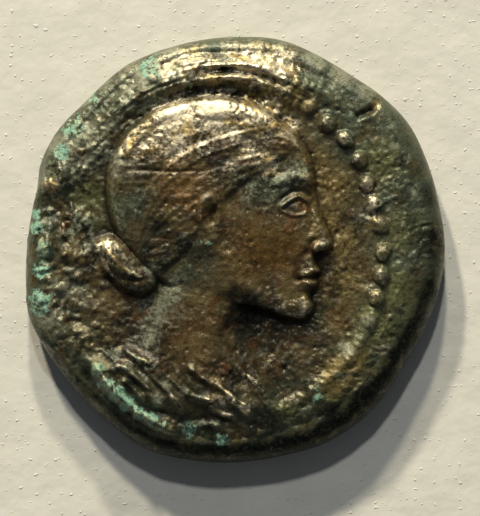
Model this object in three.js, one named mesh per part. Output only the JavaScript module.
// An ancient bronze coin, lying flat with its portrait side up.
// Millimetres. +Z is up, and +Y is the top of the portrait.
import * as THREE from "three";

const { clamp, degToRad, euclideanModulo, smoothstep } = THREE.MathUtils;

// The flan, the blank that was struck
const flanRadius = 13.65; // mean radius over the widest ring of the edge
const fieldHeight = 3.2; // from the table to the flat field round the portrait
const girdleHeight = 1.5; // from the table to the widest ring of the edge
const bevelWidth = 1.15; // seen from above, from the widest ring to the lip of the portrait side
const bevelLean = 0.38; // how far that lip lies off centre
const bevelLeanAngle = 130; // and in which direction, in degrees from +X
const lipDrop = 0.25; // how far the lip of the portrait side rolls down
const lipRoll = 1.8; // width of that roll
const strikeFade = 1.2; // width inside the lip over which the portrait and the border fade out
const rimRise = 0.6; // highest swell of the worn rim, at the top of the portrait
const rimInset = 0.75; // from the lip to the crest of that swell
const rimWidth = 0.55;
const crackDepth = 0.35;
const crackHalfWidth = 0.22;
const scratchDepth = 0.08;
const scratchHalfWidth = 0.12;
const pitDepth = 0.3;

// The portrait side
const headHeight = 14.6; // from crown to chin
const headX = -1.6; // middle of the head
const headY = 2.6;
const relief = 1.3; // the portrait's heights are shares of this
const borderX = -1.35; // middle of the ring of beads
const borderY = -0.1;
const borderRadius = 11;
const beadCount = 44;
const beadDiameter = 1.2;
const beadHeight = 0.45;
const ridgeHeight = 0.34; // the beads' run, where they are worn together to a ridge
const ridgeWidth = 0.5;

// The reverse, which lies on the table
const backBevelWidth = 0.6; // seen from above, from the widest ring to the lip of the reverse
const backLipHeight = 0.16; // from the table to that lip
const standWidth = 1.5; // the flat ring that the coin lies on
const standInset = 0.9; // from the lip of the reverse to that ring
const backDepth = 0.5; // how deep the reverse's field lies within the ring
const backSlope = 1.5; // width of the slope down to that field
const birdHeight = 16; // the standing bird, from crown to tail
const birdRelief = 0.42;
const birdSlope = 1.44; // width of its rounded slope
const featherDepth = 0.12;
const featherHalfWidth = 0.38;
const groundHeight = 0.25; // the line that the bird stands on
const groundHalfWidth = 0.32;

// Fineness of the faceted solid
const rimPoints = 108;
const frontTriangles = 6500;
const backTriangles = 1750;
const frontBands = 4; // bands of the edge above its widest ring
const backBands = 3;
const sampleStep = 0.0078; // spacing of the places where a face's fit is measured, in a disc of radius 1
const frontEvenStep = 0.12; // spacing of the points that a face has anyway
const backEvenStep = 0.22;

// Radius of the flan by direction in degrees, as shares of its mean, from hammering and filing
const flanOutline = [
  [0, 0.986], [12, 0.982], [24, 0.992], [36, 1.008], [46, 1], [56, 0.987], [66, 0.994], [78, 1.012],
  [90, 1.006], [106, 1.006], [121, 1.012], [134, 0.999], [146, 1.013], [156, 1.012], [163, 0.986],
  [170, 0.98], [181, 0.992], [190, 1.01], [198, 1.03], [207, 1.02], [218, 1.01], [230, 1.012],
  [247, 1.034], [258, 1.018], [282, 0.999], [294, 1.006], [307, 0.998], [329, 0.962], [345, 0.973],
];

// Swell of the worn rim by direction, as shares of rimRise
const rimSwell = [
  [0, 0.1], [50, 0.3], [75, 0.9], [110, 1], [145, 0.7], [180, 0.5], [220, 0.4], [270, 0.2], [320, 0.3],
];

// How much of each bead is left by direction, as shares of beadHeight
const beadsKept = [
  [0, 1], [45, 1], [62, 0.45], [80, 0.1], [180, 0.15], [230, 0.2], [310, 0.1], [328, 0.45], [345, 0.9],
];

// The ridge that the beads stand on by direction, as shares of ridgeHeight
const ridgeKept = [
  [0, 0.35], [50, 0.4], [80, 1], [120, 1], [160, 0.6], [250, 0.3], [300, 0.9], [330, 0.9],
];

// The portrait, a young head in profile. Its points are shares of headHeight from the middle of the head,
// forward and up, and its heights are shares of relief.
const facePoints = [
  [0.345, 0.365], [0.398, 0.305], [0.424, 0.262], [0.446, 0.2], [0.457, 0.13], [0.457, 0.078],
  [0.474, 0.01], [0.503, -0.07], [0.533, -0.142], [0.529, -0.178], [0.498, -0.197], [0.469, -0.206],
  [0.465, -0.236], [0.484, -0.266], [0.478, -0.288], [0.458, -0.297], [0.474, -0.312], [0.471, -0.336],
  [0.445, -0.362], [0.441, -0.386], [0.456, -0.425], [0.442, -0.468], [0.395, -0.497], [0.31, -0.487],
  [0.22, -0.452],
];
const skullPoints = [
  [0.05, -0.43], [-0.15, -0.37], [-0.3, -0.27], [-0.42, -0.12], [-0.462, 0.03], [-0.458, 0.18],
  [-0.4, 0.32], [-0.27, 0.43], [-0.1, 0.49], [0.08, 0.497], [0.23, 0.452],
];
const hairPoints = [
  [0.43, 0.275], [0.36, 0.235], [0.26, 0.17], [0.15, 0.1], [0.08, 0.04], [0.055, -0.02], [0, -0.03],
  [-0.05, -0.12], [-0.13, -0.22], [-0.26, -0.3], [-0.42, -0.22], [-0.5, 0], [-0.5, 0.2], [-0.43, 0.36],
  [-0.28, 0.48], [-0.1, 0.55], [0.1, 0.55], [0.3, 0.47], [0.42, 0.36],
];
const ribbonPoints = [
  [0.41, 0.33], [0.27, 0.335], [0.1, 0.3], [-0.07, 0.235], [-0.2, 0.14], [-0.29, 0.02], [-0.335, -0.12],
];
const bustPoints = [
  [0.3, -0.4], [0.215, -0.46], [0.178, -0.52], [0.186, -0.57], [0.225, -0.63], [0.28, -0.7],
  [0.335, -0.79], [0.385, -0.87], [0.4, -0.93], [0.3, -0.965], [0.1, -0.97], [-0.12, -0.955],
  [-0.32, -0.93], [-0.46, -0.87], [-0.57, -0.76], [-0.585, -0.68], [-0.51, -0.61], [-0.4, -0.59],
  [-0.345, -0.55], [-0.315, -0.48], [-0.295, -0.38], [-0.24, -0.25], [0, -0.1],
];
const bunPoints = [
  [-0.53, -0.155], [-0.47, -0.115], [-0.39, -0.125], [-0.31, -0.19], [-0.235, -0.275],
  [-0.235, -0.345], [-0.3, -0.385], [-0.39, -0.365], [-0.465, -0.295], [-0.51, -0.22],
];

// The raised forms: a steep foot, a rounded slope above it and a slow rise over the middle.
// Widths are shares of headHeight, and heights are shares of relief.
const headWall = {
  foot: 0.31, footWidth: 0.024, slope: 0.55, slopeWidth: 0.19, rise: 0.31, riseFrom: 0.14, riseTo: 0.34,
};
const bustWall = {
  foot: 0.23, footWidth: 0.027, slope: 0.46, slopeWidth: 0.16, rise: 0.38, riseFrom: 0.07, riseTo: 0.2,
};
const bunWall = {
  foot: 0.23, footWidth: 0.02, slope: 0.6, slopeWidth: 0.116, rise: 0, riseFrom: 0, riseTo: 1,
};
const headTop = 0.46; // least height of the head's rounded top
const headDome = { height: 0.54, at: [-0.04, 0.02], size: [0.5, 0.62] };
const bustTop = 0.38;
const chestDome = { height: 0.25, at: [-0.05, -0.5], size: [0.26, 0.6] };
const edgeSeam = 0.09; // softness of the edge between a form's top and its wall
const joinSeam = 0.05; // softness of the joins between head, bust, bun and border

// The hair: locks in arcs between two points, a roll along the hairline, a ribbon and a wound bun
const partingFront = [0.46, 0.235];
const partingBack = [-0.34, -0.225];
const lockCount = 8; // for each half turn round those two points
const lockHeight = 0.065;
const hairHeight = 0.08;
const hairFoot = 0.034; // width of the step from the face up to the hair
const rollHeight = 0.09;
const rollInset = 0.07; // from the hairline to the crest of its roll
const rollWidth = 0.055;
const ribbonHeight = 0.125;
const ribbonHalfWidth = 0.027;
const ribbonEdge = 0.04; // height of the ribbon's two edges over its middle
const bunMiddle = [-0.335, -0.165]; // the bun is wound round this point
const bunTurn = 0.06; // width of one turn
const bunTurnHeight = 0.15;

// Rounded forms of the face: height, middle, half widths along and across, and turn in degrees
const faceForms = [
  { name: "cheek", height: 0.13, at: [0.27, -0.11], size: [0.13, 0.12] },
  { name: "hollow of the jaw", height: -0.08, at: [0.17, -0.25], size: [0.1, 0.08] },
  { name: "eye socket", height: -0.28, at: [0.395, 0.028], size: [0.075, 0.042], turn: 12 },
  { name: "root of the nose", height: -0.09, at: [0.44, 0.03], size: [0.03, 0.045] },
  { name: "eyeball", height: 0.17, at: [0.383, 0.019], size: [0.04, 0.03] },
  { name: "wing of the nose", height: 0.2, at: [0.48, -0.165], size: [0.031, 0.027] },
  { name: "nostril", height: -0.12, at: [0.499, -0.19], size: [0.014, 0.009] },
  { name: "corner of the mouth", height: -0.07, at: [0.372, -0.308], size: [0.022, 0.02] },
  { name: "hollow under the lip", height: -0.1, at: [0.43, -0.366], size: [0.04, 0.016] },
  { name: "chin", height: 0.09, at: [0.415, -0.43], size: [0.048, 0.042] },
  { name: "temple", height: -0.05, at: [0.24, 0.13], size: [0.07, 0.05] },
  { name: "ear lobe", height: 0.08, at: [0.018, -0.135], size: [0.022, 0.026] },
];

// Drawn lines of the face: height, half width and points
const faceLines = [
  { name: "brow", height: 0.1, width: 0.03,
    points: [[0.462, 0.088], [0.4, 0.118], [0.33, 0.118], [0.25, 0.072]] },
  { name: "upper lid", height: 0.12, width: 0.011,
    points: [[0.436, 0.03], [0.4, 0.054], [0.35, 0.044], [0.295, 0.004]] },
  { name: "lower lid", height: 0.06, width: 0.009,
    points: [[0.43, -0.001], [0.395, -0.014], [0.35, -0.008], [0.3, 0.008]] },
  { name: "fold above the lid", height: -0.06, width: 0.01,
    points: [[0.445, 0.058], [0.395, 0.08], [0.28, 0.03]] },
  { name: "bridge of the nose", height: 0.09, width: 0.026,
    points: [[0.448, 0.1], [0.47, 0], [0.5, -0.09], [0.525, -0.18]] },
  { name: "side of the nose", height: -0.11, width: 0.03,
    points: [[0.435, 0.05], [0.442, -0.04], [0.42, -0.16]] },
  { name: "rim of the wing", height: -0.11, width: 0.012,
    points: [[0.468, -0.125], [0.44, -0.15], [0.441, -0.185], [0.462, -0.215]] },
  { name: "fold of the cheek", height: -0.07, width: 0.024,
    points: [[0.44, -0.165], [0.405, -0.215], [0.378, -0.28], [0.375, -0.33]] },
  { name: "upper lip", height: 0.11, width: 0.018,
    points: [[0.5, -0.27], [0.455, -0.267], [0.425, -0.279], [0.385, -0.3]] },
  { name: "lower lip", height: 0.12, width: 0.02,
    points: [[0.49, -0.328], [0.448, -0.328], [0.385, -0.302]] },
  { name: "mouth", height: -0.15, width: 0.01,
    points: [[0.49, -0.297], [0.43, -0.297], [0.365, -0.312]] },
  { name: "jaw", height: 0.07, width: 0.036,
    points: [[0.4, -0.475], [0.22, -0.41], [0.1, -0.31], [0.045, -0.12]] },
  { name: "ear rim", height: 0.08, width: 0.02,
    points: [[0.03, 0.045], [-0.035, 0.035], [-0.045, -0.05], [0.02, -0.13]] },
  { name: "front of the ear", height: 0.08, width: 0.014,
    points: [[0.045, 0.02], [0.035, -0.03], [0.015, -0.11]] },
  { name: "hollow of the ear", height: -0.09, width: 0.016,
    points: [[0.02, 0.02], [0.005, -0.03], [0.012, -0.07]] },
];

// Folds of the dress: height, half width and points
const foldLines = [
  { height: 0.27, width: 0.028,
    points: [[-0.44, -0.605], [-0.297, -0.655], [-0.257, -0.699], [-0.187, -0.791], [-0.108, -0.892]] },
  { height: 0.25, width: 0.026,
    points: [[-0.451, -0.735], [-0.398, -0.69], [-0.332, -0.734], [-0.284, -0.773], [-0.2, -0.866]] },
  { height: 0.23, width: 0.02,
    points: [[-0.494, -0.734], [-0.437, -0.791], [-0.402, -0.866], [-0.332, -0.901], [-0.27, -0.923]] },
  { height: 0.22, width: 0.016,
    points: [[-0.235, -0.721], [-0.143, -0.773], [-0.104, -0.817], [-0.038, -0.831], [0.04, -0.845]] },
  { height: 0.27, width: 0.028,
    points: [[-0.14, -0.68], [-0.06, -0.686], [0.002, -0.734], [0.072, -0.795], [0.164, -0.901]] },
  { height: 0.22, width: 0.02,
    points: [[-0.05, -0.86], [0.037, -0.91], [0.103, -0.923], [0.2, -0.935]] },
  { height: 0.2, width: 0.018,
    points: [[0.085, -0.734], [0.164, -0.756], [0.222, -0.782], [0.261, -0.853], [0.318, -0.93]] },
  { height: 0.2, width: 0.02,
    points: [[0.2, -0.6], [0.279, -0.703], [0.305, -0.76], [0.353, -0.817], [0.389, -0.9]] },
  { height: 0.14, width: 0.014,
    points: [[-0.38, -0.78], [-0.33, -0.82], [-0.27, -0.87], [-0.22, -0.93]] },
  { height: 0.12, width: 0.013,
    points: [[0.15, -0.64], [0.19, -0.7], [0.25, -0.75], [0.29, -0.83], [0.34, -0.91]] },
];
const neckLines = [
  { height: 0.07, width: 0.05, points: [[-0.08, -0.25], [0, -0.5], [0.14, -0.72]] },
  { height: -0.04, width: 0.012,
    points: [[0.19, -0.53], [0.08, -0.56], [-0.04, -0.54], [-0.15, -0.48]] },
];

// Damage, with places as shares of flanRadius from the middle of the flan
const crackPoints = [[0.73, 0.72], [0.64, 0.66], [0.55, 0.62]];
const scratchLines = [
  [[-0.55, 0.375], [-0.31, 0.365], [-0.07, 0.37]],
  [[0.81, 0.09], [0.9, 0.117], [0.985, 0.14]],
];
const pitMiddle = [-0.86, 0.22];
const pitHalfSize = [0.055, 0.085];

// The standing bird of the reverse, as shares of birdHeight from its middle
const birdPoints = [
  [0.04, 0.43], [0.1, 0.49], [0.18, 0.49], [0.29, 0.42], [0.19, 0.4], [0.16, 0.33], [0.23, 0.22],
  [0.25, 0.08], [0.19, -0.08], [0.12, -0.17], [0.16, -0.37], [0.03, -0.37], [0.01, -0.2], [-0.08, -0.22],
  [-0.3, -0.45], [-0.41, -0.41], [-0.34, -0.2], [-0.28, 0.02], [-0.16, 0.22], [-0.03, 0.33],
];
const featherLines = [
  [[-0.1, 0.2], [-0.19, 0.02], [-0.34, -0.32]], [[-0.01, 0.2], [-0.09, 0], [-0.22, -0.26]],
  [[0.08, 0.18], [0.02, 0], [-0.08, -0.17]], [[0.16, 0.14], [0.12, 0], [0.03, -0.14]],
];
const groundPoints = [[-0.16, -0.4], [0.06, -0.395], [0.28, -0.4]];

// Joins two heights along a soft seam, keeping the higher one
function softMax(first, second, seam) {
  const share = clamp(0.5 + (0.5 * (first - second)) / seam, 0, 1);
  return second + (first - second) * share + seam * share * (1 - share);
}

const softMin = (first, second, seam) => -softMax(-first, -second, seam);

// Rises in a quarter circle from 0 at the outline to 1 at a given depth inside it
function shoulder(depth, width) {
  const left = 1 - clamp(depth / width, 0, 1);
  return Math.sqrt(1 - left * left);
}

// Reads a value at a direction in degrees from a closed list, as a smooth curve through its values
function byDirection(list, degrees) {
  const turned = euclideanModulo(degrees - list[0][0], 360) + list[0][0];
  const following = list.findIndex(([direction]) => direction > turned);
  const next = following < 0 ? list.length : following;
  const entry = (index) => {
    const turns = Math.floor(index / list.length);
    const [direction, value] = list[index - turns * list.length];
    return [direction + 360 * turns, value];
  };
  const [before, start, end, after] = [next - 2, next - 1, next, next + 1].map(entry);
  const span = end[0] - start[0];
  const startSlope = (span * (end[1] - before[1])) / (end[0] - before[0]);
  const endSlope = (span * (after[1] - start[1])) / (after[0] - start[0]);
  const t = (turned - start[0]) / span;
  const rise = 3 * (end[1] - start[1]) - 2 * startSlope - endSlope;
  const bend = startSlope + endSlope - 2 * (end[1] - start[1]);
  return start[1] + t * (startSlope + t * (rise + t * bend));
}

const directionOf = (x, y) => THREE.MathUtils.radToDeg(Math.atan2(y, x));

// A smooth line through points, as segments with their place along it
function smoothLine(points, closed = false) {
  const corners = points.map(([x, y]) => new THREE.Vector3(x, y, 0));
  const spline = new THREE.CatmullRomCurve3(corners, closed, "catmullrom", 0.5);
  const line = spline.getPoints(6 * (closed ? points.length : points.length - 1));
  const lengths = line.slice(1).map((point, i) => point.distanceTo(line[i]));
  const whole = lengths.reduce((sum, length) => sum + length, 0);
  let passed = 0;
  return lengths.map((length, i) => {
    const from = passed / whole;
    passed += length;
    const [start, end] = [line[i], line[i + 1]];
    return { x: start.x, y: start.y, dx: end.x - start.x, dy: end.y - start.y, from, span: length / whole };
  });
}

// Distance from a point to a line, and where along the line that is
function nearest(line, x, y) {
  let distance = Infinity;
  let share = 0;
  for (const part of line) {
    const across = (x - part.x) * part.dx + (y - part.y) * part.dy;
    const along = clamp(across / (part.dx * part.dx + part.dy * part.dy || 1), 0, 1);
    const gap = Math.hypot(x - part.x - along * part.dx, y - part.y - along * part.dy);
    if (gap < distance) {
      distance = gap;
      share = part.from + along * part.span;
    }
  }
  return { distance, share };
}

// A closed outline that tells how deep a point lies inside it, negative outside
function outline(points) {
  const line = smoothLine(points, true);
  return (x, y) => {
    let inside = false;
    for (const { x: startX, y: startY, dx, dy } of line) {
      const crosses = startY > y !== startY + dy > y;
      if (crosses && x < startX + (dx * (y - startY)) / dy) inside = !inside;
    }
    const { distance } = nearest(line, x, y);
    return inside ? distance : -distance;
  };
}

// A raised or sunk line that fades out at both ends
function stroke({ height, width, points }) {
  const line = smoothLine(points);
  const reach = 3 * width;
  const xs = points.map(([x]) => x);
  const ys = points.map(([, y]) => y);
  const [left, right] = [Math.min(...xs) - reach, Math.max(...xs) + reach];
  const [low, high] = [Math.min(...ys) - reach, Math.max(...ys) + reach];
  return (x, y) => {
    if (x < left || x > right || y < low || y > high) return 0;
    const { distance, share } = nearest(line, x, y);
    const ends = smoothstep(share, 0, 0.25) * smoothstep(1 - share, 0, 0.25);
    return height * ends * Math.exp(-((distance / width) ** 2));
  };
}

// A rounded rise or hollow
function form({ height, at, size, turn = 0 }) {
  const [cos, sin] = [Math.cos(degToRad(turn)), Math.sin(degToRad(turn))];
  return (x, y) => {
    const along = ((x - at[0]) * cos + (y - at[1]) * sin) / size[0];
    const across = ((y - at[1]) * cos - (x - at[0]) * sin) / size[1];
    return height * Math.exp(-(along * along + across * across));
  };
}

const sumOf = (parts) => (x, y) => parts.reduce((sum, part) => sum + part(x, y), 0);
const highestOf = (parts) => (x, y) => parts.reduce((most, part) => Math.max(most, part(x, y)), 0);

const insideHead = outline([...facePoints, ...skullPoints]);
const insideHair = outline(hairPoints);
const insideBust = outline(bustPoints);
const insideBun = outline(bunPoints);
const ribbonLine = smoothLine(ribbonPoints);
const headCarving = sumOf([headDome, ...faceForms].map(form).concat(faceLines.map(stroke)));
const neckCarving = sumOf([form(chestDome), ...neckLines.map(stroke)]);
const dressFolds = highestOf(foldLines.map(stroke));

// Height of a form's side by the depth inside its outline
function wallHeight(depth, wall) {
  const foot = wall.foot * smoothstep(depth, 0, wall.footWidth);
  const slope = wall.slope * shoulder(depth, wall.slopeWidth);
  return foot + slope + wall.rise * smoothstep(depth, wall.riseFrom, wall.riseTo);
}

// Hair combed in arcs from the forehead to the bun, under a ribbon
function hairHeightAt(x, y) {
  const depth = insideHair(x, y);
  if (depth < 0) return 0;
  const front = Math.atan2(partingFront[1] - y, partingFront[0] - x);
  const back = Math.atan2(partingBack[1] - y, partingBack[0] - x);
  const lock = Math.abs(Math.sin((back - front) * lockCount)) - 0.5;
  const roll = rollHeight * Math.exp(-(((depth - rollInset) / rollWidth) ** 2));
  const across = nearest(ribbonLine, x, y).distance / ribbonHalfWidth;
  const edges = ribbonEdge * Math.exp(-(((across - 0.85) / 0.25) ** 2));
  const combed = hairHeight + roll + lockHeight * lock;
  const bound = ribbonHeight + roll / 2 + edges;
  const height = combed + (bound - combed) * (1 - smoothstep(across, 0.9, 1.3));
  return height * smoothstep(depth, 0, hairFoot);
}

function headHeightAt(x, y) {
  const depth = insideHead(x, y);
  if (depth < 0) return 0;
  const face = softMin(headTop + headCarving(x, y), wallHeight(depth, headWall), edgeSeam);
  return Math.max(0, face + hairHeightAt(x, y) * smoothstep(depth, 0, headWall.footWidth * 2));
}

function bustHeightAt(x, y) {
  const depth = insideBust(x, y);
  if (depth < 0) return 0;
  const top = bustTop + neckCarving(x, y) + dressFolds(x, y);
  return Math.max(0, softMin(top, wallHeight(depth, bustWall), edgeSeam));
}

function bunHeightAt(x, y) {
  const depth = insideBun(x, y);
  if (depth < 0) return 0;
  const reach = Math.hypot(x - bunMiddle[0], y - bunMiddle[1]);
  const wound = Math.abs(Math.cos((Math.PI * reach) / bunTurn)) - 0.5;
  return wallHeight(depth, bunWall) + bunTurnHeight * wound * smoothstep(depth, 0, bunTurn);
}

// Middle of each bead of the border, with its direction
const beadStep = 360 / beadCount;
const beads = Array.from({ length: beadCount }, (_, i) => {
  const turn = degToRad(i * beadStep);
  const kept = byDirection(beadsKept, i * beadStep);
  return { x: borderX + borderRadius * Math.cos(turn), y: borderY + borderRadius * Math.sin(turn), kept };
});

function borderHeightAt(x, y) {
  const degrees = directionOf(x - borderX, y - borderY);
  const off = Math.hypot(x - borderX, y - borderY) - borderRadius;
  const bead = beads[euclideanModulo(Math.round(degrees / beadStep), beadCount)];
  const radius = beadDiameter / 2;
  const ridge = ridgeHeight * byDirection(ridgeKept, degrees) * Math.exp(-((off / ridgeWidth) ** 2));
  return ridge + beadHeight * bead.kept * shoulder(radius - Math.hypot(x - bead.x, y - bead.y), radius);
}

const outlineAt = (degrees) => flanRadius * byDirection(flanOutline, degrees);
const lipAt = (degrees) => {
  const lean = bevelLean * Math.cos(degToRad(degrees - bevelLeanAngle));
  return outlineAt(degrees) - bevelWidth + lean;
};
const backLipAt = (degrees) => outlineAt(degrees) - backBevelWidth;

const shareOfFlan = (x, y) => [x / flanRadius, y / flanRadius];
const damageLine = (depth, halfWidth) => (points) =>
  stroke({ height: -depth, width: halfWidth / flanRadius, points });
const damage = sumOf([
  damageLine(crackDepth, crackHalfWidth)(crackPoints),
  ...scratchLines.map(damageLine(scratchDepth, scratchHalfWidth)),
  form({ height: -pitDepth, at: pitMiddle, size: pitHalfSize }),
]);

// Height of the portrait side over the table
function frontHeight(x, y) {
  const degrees = directionOf(x, y);
  const inside = lipAt(degrees) - Math.hypot(x, y);
  const [forward, up] = [(x - headX) / headHeight, (y - headY) / headHeight];
  const figure = softMax(headHeightAt(forward, up), bustHeightAt(forward, up), joinSeam);
  const portrait = relief * softMax(figure, bunHeightAt(forward, up), joinSeam);
  const struck = softMax(portrait, borderHeightAt(x, y), joinSeam) * smoothstep(inside, 0, strikeFade);
  const swell = rimRise * byDirection(rimSwell, degrees) * Math.exp(-(((inside - rimInset) / rimWidth) ** 2));
  const roll = lipDrop * (1 - smoothstep(inside, 0, lipRoll));
  return fieldHeight + swell - roll + struck + damage(...shareOfFlan(x, y));
}

const insideBird = outline(birdPoints);
const birdLine = (height, halfWidth) => (points) => stroke({ height, width: halfWidth / birdHeight, points });
const feathers = highestOf(featherLines.map(birdLine(featherDepth, featherHalfWidth)));
const ground = birdLine(groundHeight, groundHalfWidth)(groundPoints);

// Height of the worn reverse over the table. Its field is hollow, so it lies higher than the ring.
function backHeight(x, y) {
  const inside = backLipAt(directionOf(x, y)) - Math.hypot(x, y);
  const ringEnd = standInset + standWidth;
  const roll = backLipHeight * (1 - smoothstep(inside, 0, standInset));
  const field = backDepth * smoothstep(inside, ringEnd, ringEnd + backSlope);
  const [across, up] = [-x / birdHeight, y / birdHeight];
  const depth = insideBird(across, up) * birdHeight;
  const plumage = feathers(across, up) * smoothstep(depth, 0, featherHalfWidth);
  const bird = birdRelief * shoulder(depth, birdSlope) - plumage;
  return Math.max(0, roll + field - Math.max(bird, ground(across, up)));
}

const turnOf = (a, b, c) => (b.x - a.x) * (c.y - a.y) - (b.y - a.y) * (c.x - a.x);

// Whether a point lies inside the circle through a triangle's corners
function inCircle([a, b, c], point) {
  const rows = [a, b, c].map((corner) => [corner.x - point.x, corner.y - point.y]);
  const [first, second, third] = rows.map(([x, y]) => x * x + y * y);
  const [[ax, ay], [bx, by], [cx, cy]] = rows;
  return first * (bx * cy - by * cx) + second * (cx * ay - cy * ax) + third * (ax * by - ay * bx) > 1e-14;
}

// A disc of radius 1 in triangles that follow a surface, with its edge points first.
// It keeps adding the sample that lies farthest from the triangles.
function fitDisc(heightAt, seeds, triangleCount) {
  const points = [];
  const triangles = new Set();
  const owners = new Map();
  const keyOf = (from, to) => from * 65536 + to;

  function addTriangle(ids, samples) {
    const corners = ids.map((id) => points[id]);
    const triangle = { ids, corners, samples: [], worst: null, error: 0 };
    const whole = turnOf(...corners);
    const [a, b, c] = corners;
    for (const sample of samples) {
      const shares = [turnOf(b, c, sample), turnOf(c, a, sample), turnOf(a, b, sample)];
      if (sample.taken || Math.min(...shares) < 0) continue;
      sample.taken = true;
      triangle.samples.push(sample);
      const flat = (shares[0] * a.z + shares[1] * b.z + shares[2] * c.z) / whole;
      const error = Math.abs(flat - sample.z);
      if (error > triangle.error) {
        triangle.worst = sample;
        triangle.error = error;
      }
    }
    triangles.add(triangle);
    ids.forEach((id, i) => owners.set(keyOf(id, ids[(i + 1) % 3]), triangle));
  }

  function addPoint(point, start) {
    const cavity = new Set([start]);
    const border = [];
    for (const triangle of cavity) {
      triangle.ids.forEach((from, i) => {
        const to = triangle.ids[(i + 1) % 3];
        const beyond = owners.get(keyOf(to, from));
        if (cavity.has(beyond)) return;
        if (beyond && inCircle(beyond.corners, point)) cavity.add(beyond);
        else border.push([from, to]);
      });
    }
    const thin = border.some(([from, to]) => turnOf(points[from], points[to], point) < 1e-7);
    if (thin) return false;
    const samples = [];
    for (const triangle of cavity) {
      triangles.delete(triangle);
      triangle.ids.forEach((id, i) => owners.delete(keyOf(id, triangle.ids[(i + 1) % 3])));
      for (const sample of triangle.samples) {
        sample.taken = false;
        samples.push(sample);
      }
    }
    points.push(point);
    border.forEach(([from, to]) => addTriangle([from, to, points.length - 1], samples));
    return true;
  }

  for (let i = 0; i < rimPoints; i += 1) {
    const turn = (2 * Math.PI * i) / rimPoints;
    points.push(sampleAt(heightAt, Math.cos(turn), Math.sin(turn)));
  }
  points.push(sampleAt(heightAt, 0, 0));
  const samples = gridInDisc(sampleStep, 0.975).map(([x, y]) => sampleAt(heightAt, x, y));
  for (let i = 0; i < rimPoints; i += 1) addTriangle([i, (i + 1) % rimPoints, rimPoints], samples);

  const holds = (triangle, point) =>
    triangle.corners.every((corner, i) => turnOf(corner, triangle.corners[(i + 1) % 3], point) >= 0);
  for (const [x, y] of seeds) {
    const point = sampleAt(heightAt, x, y);
    const start = [...triangles].find((triangle) => holds(triangle, point));
    if (start) addPoint(point, start);
  }
  while (triangles.size < triangleCount) {
    const worst = [...triangles].reduce((most, triangle) => (triangle.error > most.error ? triangle : most));
    if (!worst.worst) break;
    if (!addPoint(worst.worst, worst)) worst.error = 0;
  }
  return { points, triangles: [...triangles].map((triangle) => triangle.ids) };
}

const sampleAt = (heightAt, x, y) => ({ x, y, z: heightAt(x, y) });

// Staggered rows of points inside a disc of radius 1
function gridInDisc(step, reach) {
  const rowStep = (step * Math.sqrt(3)) / 2;
  const rows = Math.floor(reach / rowStep);
  const columns = Math.floor(reach / step) + 1;
  const grid = [];
  for (let row = -rows; row <= rows; row += 1) {
    for (let column = -columns; column <= columns; column += 1) {
      const x = (column + (row % 2 === 0 ? 0 : 0.5) + 0.21) * step;
      const y = row * rowStep;
      if (Math.hypot(x, y) < reach) grid.push([x, y]);
    }
  }
  return grid;
}

// Stretches the disc of radius 1 to a lip, and back
const fromDisc = (lip) => (x, y) => {
  const radius = lip(directionOf(x, y));
  return [x * radius, y * radius];
};
const toDisc = (lip) => ([x, y]) => {
  const radius = lip(directionOf(x, y));
  return [x / radius, y / radius];
};

// Rings of points round each bead that is still clear, so that it stays round
function beadSeeds() {
  const rings = [[0, 1], [0.5, 6], [0.85, 9], [1.02, 9]];
  return beads.filter(({ kept }) => kept > 0.3).flatMap(({ x, y }) =>
    rings.flatMap(([share, count]) =>
      Array.from({ length: count }, (_, i) => {
        const turn = (2 * Math.PI * i) / count;
        const reach = (share * beadDiameter) / 2;
        return [x + reach * Math.cos(turn), y + reach * Math.sin(turn)];
      })));
}

// Both edges of the flat ring that the coin lies on
function standSeeds() {
  const count = rimPoints / 2;
  return [standInset, standInset + standWidth].flatMap((inset) =>
    Array.from({ length: count }, (_, i) => {
      const degrees = (360 * (i + 0.5)) / count;
      const radius = backLipAt(degrees) - inset;
      return [radius * Math.cos(degToRad(degrees)), radius * Math.sin(degToRad(degrees))];
    }));
}

// One face of the coin as points in millimetres and triangles
function makeFace(lip, heightAt, ownSeeds, evenStep, triangleCount) {
  const place = fromDisc(lip);
  const seeds = [...ownSeeds.map(toDisc(lip)), ...gridInDisc(evenStep, 0.96)];
  const disc = fitDisc((x, y) => heightAt(...place(x, y)), seeds, triangleCount);
  const points = disc.points.map(({ x, y, z }) => [...place(x, y), z]);
  return { points, triangles: disc.triangles };
}

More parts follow.
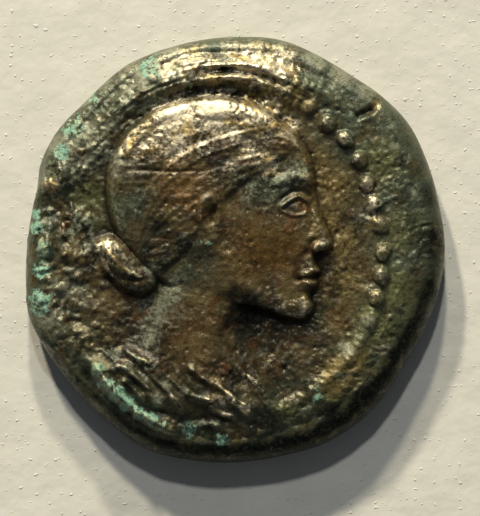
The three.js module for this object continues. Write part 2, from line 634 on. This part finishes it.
// A ring of the edge, a share of a quarter ellipse from a lip to the widest ring
function edgeRing(lip, lipPoints, share) {
  return lipPoints.map(([, , lipHeight], i) => {
    const degrees = (360 * i) / rimPoints;
    const out = Math.sin((share * Math.PI) / 2);
    const fall = 1 - Math.cos((share * Math.PI) / 2);
    const radius = lip(degrees) + (outlineAt(degrees) - lip(degrees)) * out;
    const height = lipHeight + (girdleHeight - lipHeight) * fall;
    return [radius * Math.cos(degToRad(degrees)), radius * Math.sin(degToRad(degrees)), height];
  });
}

// The whole coin as one closed body: portrait side, edge and reverse
function makeCoin() {
  const front = makeFace(lipAt, frontHeight, beadSeeds(), frontEvenStep, frontTriangles);
  const back = makeFace(backLipAt, backHeight, standSeeds(), backEvenStep, backTriangles);
  const frontLip = front.points.slice(0, rimPoints);
  const backLip = back.points.slice(0, rimPoints);
  const points = [...front.points];
  const triangles = [...front.triangles];

  const backStart = points.length;
  points.push(...back.points);
  triangles.push(...back.triangles.map(([a, b, c]) => [backStart + a, backStart + c, backStart + b]));

  const ringStarts = [0];
  for (let band = 1; band <= frontBands; band += 1) {
    ringStarts.push(points.length);
    points.push(...edgeRing(lipAt, frontLip, band / frontBands));
  }
  for (let band = backBands - 1; band >= 1; band -= 1) {
    ringStarts.push(points.length);
    points.push(...edgeRing(backLipAt, backLip, band / backBands));
  }
  ringStarts.push(backStart);
  ringStarts.slice(1).forEach((lower, ring) => {
    const upper = ringStarts[ring];
    for (let i = 0; i < rimPoints; i += 1) {
      const next = (i + 1) % rimPoints;
      triangles.push([upper + i, lower + i, lower + next], [upper + i, lower + next, upper + next]);
    }
  });

  const geometry = new THREE.BufferGeometry();
  geometry.setAttribute("position", new THREE.Float32BufferAttribute(points.flat(), 3));
  geometry.setIndex(triangles.flat());
  geometry.computeVertexNormals();
  geometry.computeBoundingBox();
  const middle = geometry.boundingBox.getCenter(new THREE.Vector3());
  geometry.translate(-middle.x, -middle.y, 0);
  return geometry;
}

const bronze = new THREE.MeshStandardMaterial({ color: 0x4a3f2a, roughness: 0.55, metalness: 0.8 });
const coin = new THREE.Mesh(makeCoin(), bronze);
coin.name = "coin";

const part = new THREE.Group();
part.add(coin);

export default part;
